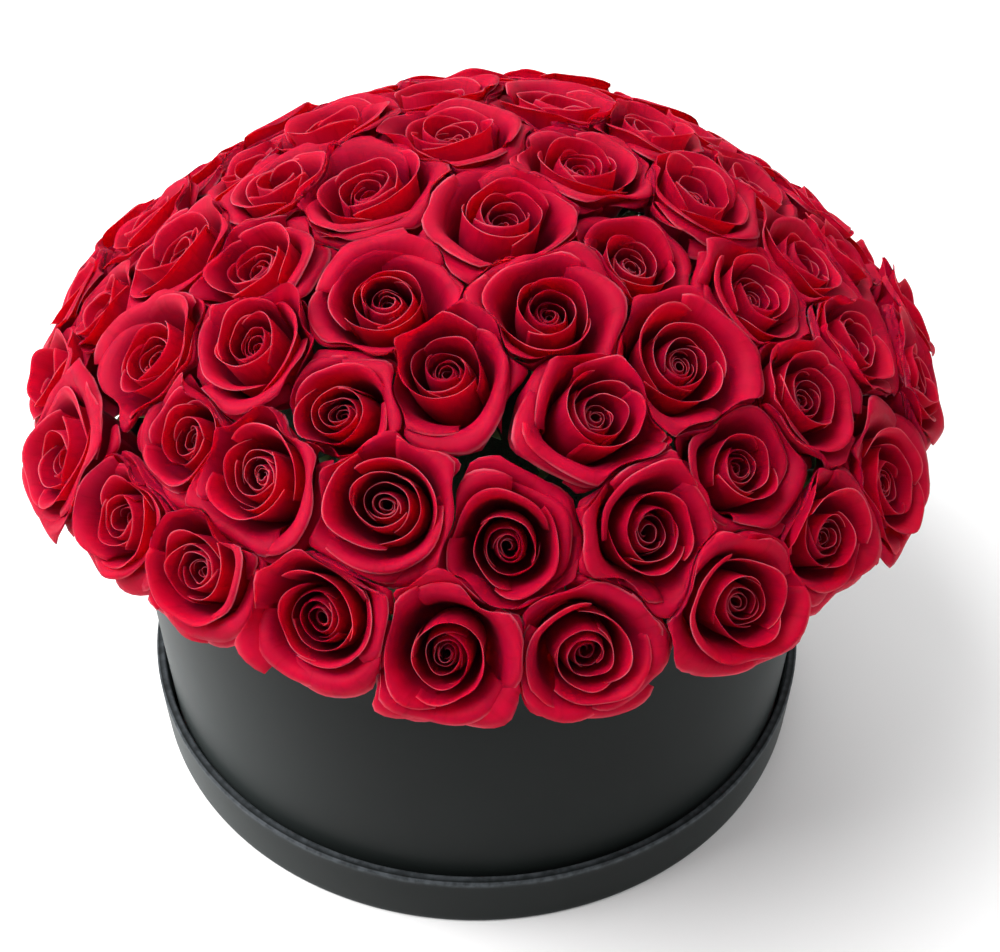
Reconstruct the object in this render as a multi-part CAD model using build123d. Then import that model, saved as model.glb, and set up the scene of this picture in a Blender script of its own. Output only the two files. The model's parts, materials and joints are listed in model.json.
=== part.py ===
from build123d import *

import os
import random
from math import acos, atan2, cos, degrees, radians, sin, tan

# A round hat box full of cut roses. The box is a greyboard drum covered in paper, which stands in
# its own lid, turned over as a tray. Inside the drum a plastic liner holds blocks of wet floral
# foam, and every rose is a bloom on a stem pushed into the foam towards one point near the box's axis.
# Millimetres and degrees. Z is up, and the origin is the centre of the tray's underside.

# ---- Driving dimensions ----
PAPER = 0.4                 # covering, lining and facing paper, with its glue
BOARD = 2.5                 # greyboard of the walls and floors

TRAY_RADIUS = 166.0         # outside of the tray's rim
TRAY_HEIGHT = 31.5
TRAY_RIM_BOARD = 3.5        # the rim's board is thicker than the drum's

DRUM_RADIUS = 160.0         # outside of the drum, which leaves a gap of 1.6 in the tray
DRUM_TOP = 163.0

TURN_UNDER = 16.0           # width of covering paper folded under a base
DRUM_TURN_IN = 20.0         # width folded over the drum's top edge
TRAY_TURN_IN = 12.0         # width folded over the tray's top edge

LINER_WALL = 0.6
LINER_TOP = 150.0
LINER_GAP = 0.8             # between the drum's lining and the liner
FOAM_GAP = 0.3              # between the liner and the foam
FOAM_LAYER = 75.0           # height of one layer of foam bars
FOAM_BARS = 3               # bars side by side in a layer
FOAM_CROWN_RADIUS = 118.0
FOAM_CROWN_EDGE = 12.0      # upright edge of the carved crown
FOAM_CROWN_HEIGHT = 78.0    # from the upper layer to the crown's middle

FOCUS_SIDE = 5.0            # the bunch stands a little to the right of the box's axis
FOCUS_HEIGHT = 82.0         # every stem points at one point, at this height
STEM_START = 70.0           # from the focus to the stem's cut end
STEM_RADIUS = 2.6
STEM_CLEARANCE = 0.05       # between a stem and its hole in the foam
HOLE_DEPTH_SPARE = 0.5
HIP_LENGTH = 13.0           # the green hip between the stem and the petals
HIP_RADIUS = 6.0
SEPAL_RADIUS = 11.5
BLOOM_DEPTH = 23.0          # from the bloom's widest place back to its base
BLOOM_RISE = 16.0           # from the bloom's widest place forward to its top
BLOOM_BASE_RADIUS = 9.0
BLOOM_GAP = 0.35            # from a bloom to the plane between it and its neighbour

# The four roses at the top, as tilt from the vertical and turn about it from the front.
CROWN_ROSES = [(5.0, -95.0), (13.0, -8.0), (11.0, 59.0), (16.0, -56.0)]
CROWN_REACH = 203.0         # from the focus to the widest place of a bloom

# The rings below them: tilt, count, first turn, reach, play in turn, play in tilt, and the seed
# that scatters the ring's roses inside that play. Then the roses push each other apart.
RINGS = {
    "ring_2": (23.5, 10, 14.0, 204.0, 9.0, 4.0, 181423),
    "ring_3": (34.0, 15, -8.0, 206.0, 8.0, 3.5, 778815),
    "ring_4": (44.0, 20, 3.5, 210.0, 6.0, 3.0, 168089),
    "ring_5": (55.0, 23, -4.0, 214.0, 6.0, 2.5, 50425),
}
BLOOM_RADIUS = (24.0, 33.0)  # smallest and largest
REACH_PLAY = 3.0
SPACING = 0.235             # degrees between two stems for each mm of their blooms' radii
SPACING_STEPS = 30
SPACING_PUSH = 0.25         # share of a shortfall that each step takes up
STEEPEST = 55.5             # the largest tilt that clears the drum's edge

LEAF_LENGTH = 27.0
LEAF_WIDTH = 19.0
LEAF_THICKNESS = 0.9
LEAF_STALK = 1.2            # half width of the leaf where it joins its stem
LEAF_DISTANCE = 160.0       # from the focus

# ---- Sizes that follow ----
TRAY_INSIDE = TRAY_RADIUS - 2 * PAPER - TRAY_RIM_BOARD
TRAY_FLOOR = 3 * PAPER + BOARD
DRUM_INSIDE = DRUM_RADIUS - 2 * PAPER - BOARD
DRUM_BOTTOM = TRAY_FLOOR
DRUM_FLOOR = DRUM_BOTTOM + 3 * PAPER + BOARD
LINER_RADIUS = DRUM_INSIDE - LINER_GAP
FOAM_RADIUS = LINER_RADIUS - LINER_WALL - FOAM_GAP
FOAM_BOTTOM = DRUM_FLOOR + LINER_WALL
FOAM_TOP = FOAM_BOTTOM + 2 * FOAM_LAYER
FOCUS = Vector(FOCUS_SIDE, 0, FOCUS_HEIGHT)
EXPORT_FOLDER = "parts"


def save(name, *solids):
    """Write one node, which may be a group of separate solids."""
    shape = solids[0] if len(solids) == 1 else Compound(children=list(solids))
    export_step(shape, os.path.join(EXPORT_FOLDER, name + ".step"))


def turned(*points):
    """A solid of revolution about the box's axis, from (radius, height) corners."""
    outline = Polyline(*points, close=True)
    return revolve(Plane.XZ * make_face(outline), Axis.Z).solid()


# ---- The box ----
def covering(outer, inside, bottom, top, turn_in):
    """Paper that runs under a base, up the outside, over the top edge and down the inside."""
    return turned(
        (outer - TURN_UNDER, bottom),
        (outer, bottom),
        (outer, top),
        (inside, top),
        (inside, top - turn_in),
        (inside + PAPER, top - turn_in),
        (inside + PAPER, top - PAPER),
        (outer - PAPER, top - PAPER),
        (outer - PAPER, bottom + PAPER),
        (outer - TURN_UNDER, bottom + PAPER),
    )


def base_facing(outer, bottom):
    """A paper disc that hides the folded edge of the covering and the bare board inside it."""
    fold = outer - TURN_UNDER
    return turned(
        (0, bottom),
        (outer - 2.0, bottom),
        (outer - 2.0, bottom + PAPER),
        (fold, bottom + PAPER),
        (fold, bottom + 2 * PAPER),
        (0, bottom + 2 * PAPER),
    )


def disc(radius, bottom, top):
    return turned((0, bottom), (radius, bottom), (radius, top), (0, top))


def band(outer, inner, bottom, top):
    return turned((inner, bottom), (outer, bottom), (outer, top), (inner, top))


def make_tray():
    board_bottom = 2 * PAPER
    board_top = board_bottom + BOARD
    lining_top = TRAY_HEIGHT - TRAY_TURN_IN
    save("tray_face_paper", base_facing(TRAY_RADIUS, 0))
    save("tray_wrap", covering(TRAY_RADIUS, TRAY_INSIDE, PAPER, TRAY_HEIGHT, TRAY_TURN_IN))
    save("tray_floor_board", disc(TRAY_INSIDE + PAPER, board_bottom, board_top))
    rim_top = TRAY_HEIGHT - PAPER
    save("tray_rim_board", band(TRAY_RADIUS - PAPER, TRAY_INSIDE + PAPER, board_bottom, rim_top))
    save("tray_lining", turned(
        (0, board_top),
        (TRAY_INSIDE + PAPER, board_top),
        (TRAY_INSIDE + PAPER, lining_top),
        (TRAY_INSIDE, lining_top),
        (TRAY_INSIDE, TRAY_FLOOR),
        (0, TRAY_FLOOR),
    ))


def make_drum():
    board_bottom = DRUM_BOTTOM + 2 * PAPER
    board_top = board_bottom + BOARD
    save("drum_base_paper", base_facing(DRUM_RADIUS, DRUM_BOTTOM))
    wrap_bottom = DRUM_BOTTOM + PAPER
    save("drum_wrap", covering(DRUM_RADIUS, DRUM_INSIDE, wrap_bottom, DRUM_TOP, DRUM_TURN_IN))
    save("drum_base_board", disc(DRUM_INSIDE + PAPER, board_bottom, board_top))
    wall_top = DRUM_TOP - PAPER
    save("drum_wall_board", band(DRUM_RADIUS - PAPER, DRUM_INSIDE + PAPER, board_bottom, wall_top))
    save("drum_floor_paper", disc(DRUM_INSIDE, board_top, DRUM_FLOOR))
    lining_top = DRUM_TOP - DRUM_TURN_IN
    save("drum_lining", band(DRUM_INSIDE + PAPER, DRUM_INSIDE, board_top, lining_top))


# ---- The roses' places ----
def aim(tilt, turn):
    """The unit vector from the focus along a stem. A turn of 0 is the front, which is -Y."""
    tilt = radians(tilt)
    turn = radians(turn)
    return Vector(sin(tilt) * sin(turn), -sin(tilt) * cos(turn), cos(tilt))


def nudge(direction, radius, others):
    """A rose's direction after its close neighbours, as (direction, radius), have pushed it."""
    moved = direction
    for other, other_radius in others:
        wanted = radians(SPACING * (radius + other_radius))
        shortfall = wanted - acos(min(1.0, direction.dot(other)))
        if shortfall > 0 and other is not direction:
            moved += (direction - other).normalized() * (shortfall * SPACING_PUSH)
    moved = moved.normalized()
    if moved.Z < cos(radians(STEEPEST)):
        moved = aim(STEEPEST, degrees(atan2(moved.X, -moved.Y)))
    return moved


def place_roses():
    """Each ring's roses, as (direction, reach, bloom radius)."""
    directions = [aim(*angles) for angles in CROWN_ROSES]
    bulbs = [("crown", CROWN_REACH, BLOOM_RADIUS[1])] * len(CROWN_ROSES)
    for name, (tilt, count, first, reach, turn_play, tilt_play, seed) in RINGS.items():
        chance = random.Random(seed)
        for number in range(count):
            turn = first + 360 * number / count + chance.uniform(-turn_play, turn_play)
            directions.append(aim(tilt + chance.uniform(-tilt_play, tilt_play), turn))
            own_reach = reach + chance.uniform(-REACH_PLAY, REACH_PLAY)
            bulbs.append((name, own_reach, chance.uniform(*BLOOM_RADIUS)))
    radii = [radius for _, _, radius in bulbs]
    for _ in range(SPACING_STEPS):
        sized = list(zip(directions, radii))
        directions = [nudge(direction, radius, sized) for direction, radius in sized]
    places = {name: [] for name in ("crown", *RINGS)}
    for direction, (name, reach, radius) in zip(directions, bulbs):
        places[name].append((direction, reach, radius))
    return places


# ---- One rose, modelled upright at the focus and then turned to its direction ----
def along(direction):
    """The frame of a stem: its origin is the focus and its Z axis is the stem's direction."""
    return Plane(origin=FOCUS, z_dir=direction)


def spun(*edges):
    """A solid of revolution about Z, from edges drawn as radius and height."""
    return revolve(Plane.XZ * make_face(Wire(edges)), Axis.Z).solid()


def bloom(direction, reach, radius, others):
    """The petals as one convex bulb, flattened where it presses against its neighbours."""
    base = reach - BLOOM_DEPTH
    top = reach + BLOOM_RISE
    bulb = spun(
        Line((0, base), (BLOOM_BASE_RADIUS, base)),
        ThreePointArc((BLOOM_BASE_RADIUS, base), (0.82 * radius, reach - 14), (radius, reach - 1)),
        ThreePointArc((radius, reach - 1), (0.88 * radius, reach + 10), (0.5 * radius, top)),
        Line((0.5 * radius, top), (0, top)),
        Line((0, top), (0, base)),
    )
    bulb = along(direction) * bulb
    for other, other_radius in others:
        # the plane between two blooms lies nearer to the smaller one
        turn = acos(max(-1.0, min(1.0, direction.dot(other)))) * radius / (radius + other_radius)
        if turn < 1e-6 or top * tan(turn) > 1.2 * radius:
            continue
        sideways = (other - direction * direction.dot(other)).normalized()
        across = sideways * cos(turn) - direction * sin(turn)
        wall = Plane(origin=FOCUS - across * BLOOM_GAP, z_dir=across)
        bulb = split(bulb, bisect_by=wall, keep=Keep.BOTTOM)
    return bulb.solid()


def calyx(direction, reach):
    """The hip and its ring of sepals, under the bloom."""
    top = reach - BLOOM_DEPTH
    bottom = top - HIP_LENGTH
    return along(direction) * spun(
        Line((0, bottom), (STEM_RADIUS, bottom)),
        ThreePointArc((STEM_RADIUS, bottom), (HIP_RADIUS, bottom + 6), (4.5, bottom + 10)),
        Line((4.5, bottom + 10), (SEPAL_RADIUS, top - 2)),
        Line((SEPAL_RADIUS, top - 2), (BLOOM_BASE_RADIUS, top)),
        Line((BLOOM_BASE_RADIUS, top), (0, top)),
        Line((0, top), (0, bottom)),
    )


def rod(direction, radius, start, end):
    cylinder = Cylinder(radius, end - start, align=(Align.CENTER, Align.CENTER, Align.MIN))
    return (along(direction) * Pos(0, 0, start) * cylinder).solid()


def stem(direction, reach):
    return rod(direction, STEM_RADIUS, STEM_START, reach - BLOOM_DEPTH - HIP_LENGTH)


def stem_hole(direction, reach):
    start = STEM_START - HOLE_DEPTH_SPARE
    return rod(direction, STEM_RADIUS + STEM_CLEARANCE, start, reach)


def leaf(direction, neighbour):
    """A leaf between two stems, on the first one, facing outwards."""
    outward = (direction + neighbour).normalized()
    sideways = neighbour - direction
    sideways = (sideways - outward * sideways.dot(outward)).normalized()
    root = direction * LEAF_DISTANCE + sideways * (STEM_RADIUS - 0.4)
    blade = Plane(origin=FOCUS + root, x_dir=sideways, z_dir=outward)
    half = LEAF_WIDTH / 2
    outline = Wire([
        Line((0, -LEAF_STALK), (0, LEAF_STALK)),
        ThreePointArc((0, LEAF_STALK), (0.45 * LEAF_LENGTH, half), (LEAF_LENGTH, 0)),
        ThreePointArc((LEAF_LENGTH, 0), (0.45 * LEAF_LENGTH, -half), (0, -LEAF_STALK)),
    ])
    return extrude(blade * make_face(outline), LEAF_THICKNESS).solid()


def make_roses(places):
    others = [(direction, radius) for ring in places.values() for direction, _, radius in ring]
    for name, ring in places.items():
        blooms = [bloom(*place, others) for place in ring]
        calyxes = [calyx(direction, reach) for direction, reach, _ in ring]
        stems = [stem(direction, reach) for direction, reach, _ in ring]
        if name == "crown":
            for number, pieces in enumerate(zip(ring, blooms, calyxes, stems), 1):
                print("crown rose", number, "axis", tuple(pieces[0][0]))
                for kind, piece in zip(("bloom", "calyx", "stem"), pieces[1:]):
                    save(f"crown_rose_{number}_{kind}", piece)
        else:
            save(name + "_blooms", *blooms)
            save(name + "_calyxes", *calyxes)
            save(name + "_stems", *stems)
        print(name, "roses", len(ring), "smallest bloom", round(min(b.volume for b in blooms)))


def make_leaves(places):
    """A leaf on each rose of the two outer rings, where the gap to the next stem has room."""
    for name in ("ring_4", "ring_5"):
        ring = places[name]
        leaves = []
        for (direction, _, _), (neighbour, _, _) in zip(ring, ring[1:] + ring[:1]):
            gap = LEAF_DISTANCE * (neighbour - direction).length - 2 * STEM_RADIUS
            if gap > LEAF_LENGTH + 1.0:
                leaves.append(leaf(direction, neighbour))
        save(name + "_leaves", *leaves)
        print(name, "leaves", len(leaves))


# ---- What holds the roses ----
def make_liner():
    save("liner", turned(
        (0, DRUM_FLOOR),
        (LINER_RADIUS, DRUM_FLOOR),
        (LINER_RADIUS, LINER_TOP),
        (LINER_RADIUS - LINER_WALL, LINER_TOP),
        (LINER_RADIUS - LINER_WALL, FOAM_BOTTOM),
        (0, FOAM_BOTTOM),
    ))


def foam_bars(bottom, turn):
    """A layer of foam bars, trimmed to the liner. A turn of 0 sets them side by side along X."""
    width = 2 * FOAM_RADIUS / FOAM_BARS
    layer = disc(FOAM_RADIUS, bottom, bottom + FOAM_LAYER)
    middle = bottom + FOAM_LAYER / 2
    bars = []
    for number in range(FOAM_BARS):
        offset = (number - (FOAM_BARS - 1) / 2) * width
        bar = Pos(offset, 0, middle) * Box(width, 3 * FOAM_RADIUS, 2 * FOAM_LAYER)
        bars.append(layer & (Rot(0, 0, turn) * bar))
    return bars


def foam_crown():
    """The carved top block: a dome on an upright edge, which ends just under the blooms."""
    edge_top = FOAM_TOP + FOAM_CROWN_EDGE
    crown_top = FOAM_TOP + FOAM_CROWN_HEIGHT
    rise = crown_top - edge_top
    curve = (FOAM_CROWN_RADIUS ** 2 + rise ** 2) / (2 * rise)
    middle = FOAM_CROWN_RADIUS / 2
    middle_height = crown_top - curve + (curve ** 2 - middle ** 2) ** 0.5
    return spun(
        Line((0, FOAM_TOP), (FOAM_CROWN_RADIUS, FOAM_TOP)),
        Line((FOAM_CROWN_RADIUS, FOAM_TOP), (FOAM_CROWN_RADIUS, edge_top)),
        ThreePointArc((FOAM_CROWN_RADIUS, edge_top), (middle, middle_height), (0, crown_top)),
        Line((0, crown_top), (0, FOAM_TOP)),
    )


def make_foam(places):
    holes = [stem_hole(direction, reach) for ring in places.values() for direction, reach, _ in ring]
    lower = foam_bars(FOAM_BOTTOM, 0)
    upper = foam_bars(FOAM_BOTTOM + FOAM_LAYER, 90)
    for side, bar in zip(("left", "middle", "right"), lower):
        save("foam_lower_" + side, bar.solid())
    for side, bar in zip(("front", "middle", "back"), upper):
        save("foam_upper_" + side, (bar - holes).solid())
    save("foam_crown", (foam_crown() - holes).solid())


os.makedirs(EXPORT_FOLDER, exist_ok=True)
ROSES = place_roses()
make_tray()
make_drum()
make_liner()
make_foam(ROSES)
make_roses(ROSES)
make_leaves(ROSES)
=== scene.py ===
import json
import math

import bpy
import numpy as np
from mathutils import Matrix, Vector

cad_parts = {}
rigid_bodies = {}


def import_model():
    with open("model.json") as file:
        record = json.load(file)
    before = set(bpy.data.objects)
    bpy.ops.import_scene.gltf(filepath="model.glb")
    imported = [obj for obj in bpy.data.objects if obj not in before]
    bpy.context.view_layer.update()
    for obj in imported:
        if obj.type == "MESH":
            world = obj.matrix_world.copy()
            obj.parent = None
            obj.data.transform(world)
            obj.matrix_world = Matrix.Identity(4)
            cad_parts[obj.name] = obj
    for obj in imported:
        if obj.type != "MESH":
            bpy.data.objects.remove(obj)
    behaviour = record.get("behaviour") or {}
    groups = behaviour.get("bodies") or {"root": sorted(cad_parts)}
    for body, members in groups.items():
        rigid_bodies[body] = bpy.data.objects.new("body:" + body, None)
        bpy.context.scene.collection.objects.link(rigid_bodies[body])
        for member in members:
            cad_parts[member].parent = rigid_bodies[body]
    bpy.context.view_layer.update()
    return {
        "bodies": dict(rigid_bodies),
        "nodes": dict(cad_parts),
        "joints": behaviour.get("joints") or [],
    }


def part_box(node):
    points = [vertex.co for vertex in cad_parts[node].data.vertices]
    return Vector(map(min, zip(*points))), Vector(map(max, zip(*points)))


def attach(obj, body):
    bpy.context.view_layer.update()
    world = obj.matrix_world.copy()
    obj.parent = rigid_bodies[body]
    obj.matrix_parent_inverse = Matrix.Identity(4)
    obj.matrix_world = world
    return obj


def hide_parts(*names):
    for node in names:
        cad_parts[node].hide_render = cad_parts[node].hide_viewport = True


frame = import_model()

MM = 0.001

# ---- The camera ----
CAMERA_PLACE = (0.0, -0.481, 0.566)
CAMERA_DOWN = 42.76         # degrees below level
CAMERA_TURN = 1.28          # degrees towards +X
CAMERA_ROLL = 0.76
SENSOR_WIDTH = 36.0
CAMERA_LENS = 48.96

# ---- The studio: each lamp's name, place in m, width in m and power in W ----
LIGHTS = [
    ("key_light", (-1.1, -0.05, 1.8), 1.6, 62),
    ("side_light", (-1.6, 0.1, 0.5), 0.9, 11),
    ("fill_light", (1.1, -0.9, 1.0), 1.2, 1.5),
    ("back_light", (0.1, 1.3, 1.4), 1.2, 12),
]
LIGHTS_AIM = (0, 0, 0.18)
EVEN_LIGHT = 0.60           # strength of the white light from all round
FLOOR_HALF = 4.0            # m, from the floor's middle to its edge
FLOOR_WHITE = (0.92, 0.92, 0.92, 1)

# ---- Roses, in mm ----
ROSE_SEED = 100             # each rose has its own seed, counted up from this
GREENS_SEED = 5000          # added to it for the rose's stem and calyx
BLOOM_DEPTH = 39.0          # from the bloom's base to its top
FULL_RADIUS = 30.0          # from the axis to the rims of the bloom that PETAL_LINES draw
GOLDEN_TURN = math.radians(137.5)   # from each petal to the next
PETAL_COLUMNS = 21
PETAL_ROWS = 14
PETAL_THICKNESS = 0.35
RIM_HEIGHT = 28.0           # of the open petals' rims

# ---- Room between roses, in mm ----
NEIGHBOUR_TURN = math.radians(26)   # roses this close to each other meet
NEIGHBOUR_GAP = 0.3         # from a petal to the plane between two roses
NEIGHBOUR_CUSHION = 1.6     # depth over which a petal bends along that plane
WAVER = 1.3                 # height of each of the three waves in that plane
# how fast each of the three turns along x, y and z, in radians for each mm
WAVER_STEPS = np.array([(0.23, -0.14, 0.17), (-0.11, 0.26, 0.13), (0.15, 0.19, -0.21)])
WAVER_SIDE = np.array((0.36, 0.48, 0.80))   # planes that face away from this are the mirrored ones
CELL_ROUNDNESS = 8          # higher makes sharper corners where three roses meet
CELL_STEPS = 36             # turns at which a rose's room is averaged
SPARE_ROOM = 14.0           # how far a petal may reach past the CAD bloom to fill a gap
OVERFILL = (1.18, 1.40)     # least and most that an open petal would spread, as a share of its room
LOWEST_TILT = math.radians(60.5)    # from the vertical, of the lowest petals' rims
FREE_SIDE = 18.0            # how much less far petals reach where the lowest ring has no neighbour

# ---- Petals ----
# A petal's openness runs from 0, the innermost of the bud, to 1, the outermost, which folds back.
# These are the petals of the bud, of the cup round it and of the open skirt, and where each ends.
PETAL_COUNTS = (6, 5, 9)
PETALS = sum(PETAL_COUNTS)
OPENNESS_ENDS = (0.0, 0.30, 0.60, 1.0)
OPENING_POWERS = (0.85, 1.3)        # a low one opens the whole rose, and a high one keeps it closed
SPREAD_START = 0.58                 # the openness at which petals start to spread into their room
SPREAD_RANGE = 0.27                 # and how much more openness spreads them all the way
# A petal's middle line from base to rim, as control points of (radius, height), by its openness.
OPENNESS = np.array([0.0, 0.28, 0.45, 0.60, 0.80, 1.0])
PETAL_LINES = np.array([
    [(1.0, 0.0), (4.5, 8.0), (5.0, 17.0), (3.6, 25.0), (1.4, 27.0)],
    [(1.5, 0.0), (9.0, 6.0), (10.5, 18.0), (8.5, 28.0), (6.6, 31.0)],
    [(2.0, 0.0), (14.0, 4.0), (15.0, 18.0), (13.0, 31.0), (11.6, 35.0)],
    [(2.5, 0.0), (18.0, 3.0), (18.5, 18.0), (16.0, 34.0), (18.0, 37.5)],
    [(2.8, 0.0), (21.0, 2.0), (16.5, 21.0), (19.5, 39.5), (26.5, 33.5)],
    [(3.0, 0.0), (23.0, 1.0), (17.0, 20.0), (24.0, 38.0), (32.5, 24.0)],
])
HALF_WIDTHS = np.radians([130.0, 104.0, 88.0, 80.0, 68.0, 62.0])  # half width about the axis
TUCKS = np.array([0.26, 0.17, 0.13, 0.11, 0.08, 0.06])            # how far one side lies inside
CURLS = np.array([0.0, 0.2, 0.5, 1.4, 2.8, 4.2])                  # how far the rim rolls back
RUFFLES = np.array([0.15, 0.4, 0.6, 0.9, 1.5, 2.0])               # waves along the rim
LEAN = 0.10                 # sideways shift of a bloom, as a share of its height
OVAL = 0.16                 # the most that a bud and its cup are squeezed into an oval
# What chance adds to each petal: to its openness, its height as a share, and its turn in radians
OPENNESS_SPREAD = 0.018
HEIGHT_SPREAD = 0.035
TURN_SPREAD = 0.12
# Shares that run from 0 at a petal's base to 1 at its rim, and from -1 to 1 across it
ROW_POWER = 0.85            # below 1, so that the rows lie closer near the rim
SIDE_DROP = 0.08            # how much lower a closed petal's corners are than its middle
OPEN_SIDE_DROP = 0.09       # how much more an open petal's are
SIDE_DROP_SPREAD = (-0.03, 0.05)
SIDE_DROP_POWER = 2.6       # higher keeps the rim level for longer
BASE_WIDTH = 0.42           # a petal's width at its base, as a share of its greatest
WIDENING = 0.58             # the rest of that width
WIDEST = 0.7                # where a petal reaches it
ROLL_START = 0.72           # where the rim starts to roll back
ROLL_POWER = 1.6
ROLL_MIDDLE = 0.45          # how much the rim's middle rolls back, and how much more its corners
ROLL_CORNERS = 0.75
CURL_SHARES = (0.6, 1.35)   # least and most that one petal rolls back
CURL_OUT = 0.45             # how far a roll moves the rim out and down
CURL_DOWN = 0.95
RUFFLE_WAVES = (2.0, 3.7)   # a slow and a quick wave along the rim
RUFFLE_TURN = 1.9           # radians of a wave from a petal's middle to its side, for each of those
RUFFLE_HEIGHT = 1.6
RUFFLE_OUT = 0.6            # how much of a wave goes outward
CREASE_DEPTH = 0.5          # mm, of the broad crease down an open petal's middle
CREASE_WIDTH = 0.16

# ---- Stems and calyxes, in mm ----
STEM_RADIUS = 2.6
STEM_START = 70.0           # from the focus to the stem's cut end
STEM_EDGE = 0.3             # bevel of the cut end
STEM_FIRST_ROW = 78.0       # evenly spaced rows run from here to the hip
STEM_ROWS = 10
STEM_SIDES = 14
HIP_RADIUS = 6.0
HIP_LENGTH = 13.0           # from the stem to the bloom's base
HIP_INSIDE = 1.5            # how far the hip goes on inside the bloom
HIP_ROWS = 9
HIP_SWELL = 1.25            # how fast the hip reaches its greatest radius
HIP_NECK = 1.2              # how much narrower it is again at its top
HIP_NECK_START = 0.65
SEPALS = 5
SEPAL_ROWS = 9
SEPAL_COLUMNS = 5
SEPAL_THICKNESS = 0.5
SEPAL_LENGTHS = (17, 22)
SEPAL_DROOPS = (0.1, 0.6)   # how far a tip hangs, as a share of the sepal's length
SEPAL_START = 3.5           # from the rose's axis to the sepal's root
SEPAL_OUT = 0.72            # how far a sepal goes out and up, as shares of its length
SEPAL_UP = 0.42
SEPAL_HALF_WIDTH = 3.6
SEPAL_HOLLOW = 0.05         # how far its sides turn up, for each mm squared from its middle

# ---- Leaves ----
LEAF_ROWS = 33
LEAF_COLUMNS = 13
LEAF_TEETH = 15
LEAF_TOOTH = 0.10           # depth of a tooth, as a share of the leaf's width
LEAF_THICKNESS = 0.3        # mm
LEAF_SIDE_VEINS = 7
LEAF_VEIN_DEPTH = 0.25      # mm
LEAF_VEIN_SLANT = 0.35
LEAF_FOLD = 0.16            # rise of a leaf's sides, as a share of their width
LEAF_ARCH = 1.2             # mm
LEAF_DROOPS = (0.02, 0.09)  # how far a tip hangs, as a share of the leaf's length

# ---- The box ----
AROUND = 288                # steps round the drum and the tray
PAPER = 0.4                 # mm, with its glue
TURN_UNDER = 16.0           # width of paper folded under a base
DRUM_TURN_IN = 20.0         # width of paper folded over the drum's top edge
TRAY_TURN_IN = 12.0
FOLD_RADIUS = 1.1           # of the paper over the edge of the board
FOLD_STEPS = 6
WALL_ROWS = 9
TURN_IN_ROWS = 4
SEAM_TURN = math.radians(97.0)      # where the sheet's two ends meet, at the back
SEAM_WIDTH = math.radians(4.5)
SEAM_STEP = 0.0012          # radians from the seam to the paper on each side of it
SEAM_RISE = 0.32            # mm that the overlap stands proud
PAPER_WAVE = 0.05           # mm, of each of the waves that glue leaves in the paper
PAPER_WAVES = (3, 5, 8)     # how many of each there are round the box


# ---- Meshes ----
def new_piece(name, vertices, faces, body):
    """A mesh object made from vertex and face arrays, riding on a body."""
    mesh = bpy.data.meshes.new(name)
    mesh.from_pydata(np.asarray(vertices).tolist(), [], [tuple(face) for face in faces])
    mesh.validate()
    mesh.shade_smooth()
    piece = bpy.data.objects.new(name, mesh)
    bpy.context.scene.collection.objects.link(piece)
    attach(piece, body)
    return piece


def islands(node):
    """The separate solids of a CAD node, each as an array of its vertices."""
    mesh = frame["nodes"][node].data
    points = np.empty(len(mesh.vertices) * 3)
    mesh.vertices.foreach_get("co", points)
    points = points.reshape(-1, 3)
    keys, merged = np.unique(np.round(points, 6), axis=0, return_inverse=True)
    merged = merged.reshape(-1)
    edges = np.empty(len(mesh.edges) * 2, dtype=np.int64)
    mesh.edges.foreach_get("vertices", edges)
    edges = merged[edges].reshape(-1, 2)
    label = np.arange(len(keys))
    while True:
        lowest = np.minimum(label[edges[:, 0]], label[edges[:, 1]])
        before = label.copy()
        np.minimum.at(label, edges[:, 0], lowest)
        np.minimum.at(label, edges[:, 1], lowest)
        label = label[label]
        if np.array_equal(before, label):
            break
    return [keys[label == one] for one in np.unique(label)]


# ---- Where the CAD model puts the roses ----
def find_focus():
    """The point that every stem aims at: the nearest one to the removable roses' joint axes."""
    total, aimed = np.zeros((3, 3)), np.zeros(3)
    for joint in frame["joints"]:
        if not joint["name"].endswith("_pull"):
            continue
        low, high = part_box(joint["child"] + "_stem")
        axis = np.array(Vector(joint["axis"]).normalized())
        beside = np.eye(3) - np.outer(axis, axis)
        total += beside
        aimed += beside @ np.array((low + high) / 2)
    return np.linalg.solve(total, aimed)


FOCUS = find_focus()


def find_roses():
    """Every rose: its name, nodes, body, direction from the focus, and base and radius in mm."""
    roses = []
    crowns = sorted(name for name in frame["bodies"] if name.startswith("crown_rose"))
    groups = [(body, body, "_bloom", "_calyx", "_stem") for body in crowns]
    groups += [(f"ring_{n}", "arrangement", "_blooms", "_calyxes", "_stems") for n in (2, 3, 4, 5)]
    for group, body, bloom, calyx, stem in groups:
        directions = []
        for part in islands(group + stem):
            away = part.mean(axis=0) - FOCUS
            directions.append(away / np.linalg.norm(away))
        for number, part in enumerate(islands(group + bloom)):
            away = part - FOCUS
            middle = (away.min(axis=0) + away.max(axis=0)) / 2
            direction = max(directions, key=lambda each: each @ middle)
            heights = away @ direction
            spread = np.linalg.norm(away - np.outer(heights, direction), axis=1)
            roses.append({
                "name": group if body == group else f"{group}_rose_{number + 1:02d}",
                "nodes": [group + bloom, group + calyx, group + stem],
                "body": body,
                "direction": direction,
                "base": heights.max() / MM - BLOOM_DEPTH,
                "radius": spread.max() / MM,
            })
    return roses


# ---- Petals ----
def bezier(controls, share):
    """Points on Bezier curves. controls is (petal, control, 2), and share is (petal, row, column)."""
    last = controls.shape[1] - 1
    total = 0.0
    for number in range(last + 1):
        weight = math.comb(last, number) * share ** number * (1 - share) ** (last - number)
        total = total + weight[..., None] * controls[:, number][:, None, None, :]
    return total


def by_openness(values, openness):
    return np.interp(openness, OPENNESS, values)


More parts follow.
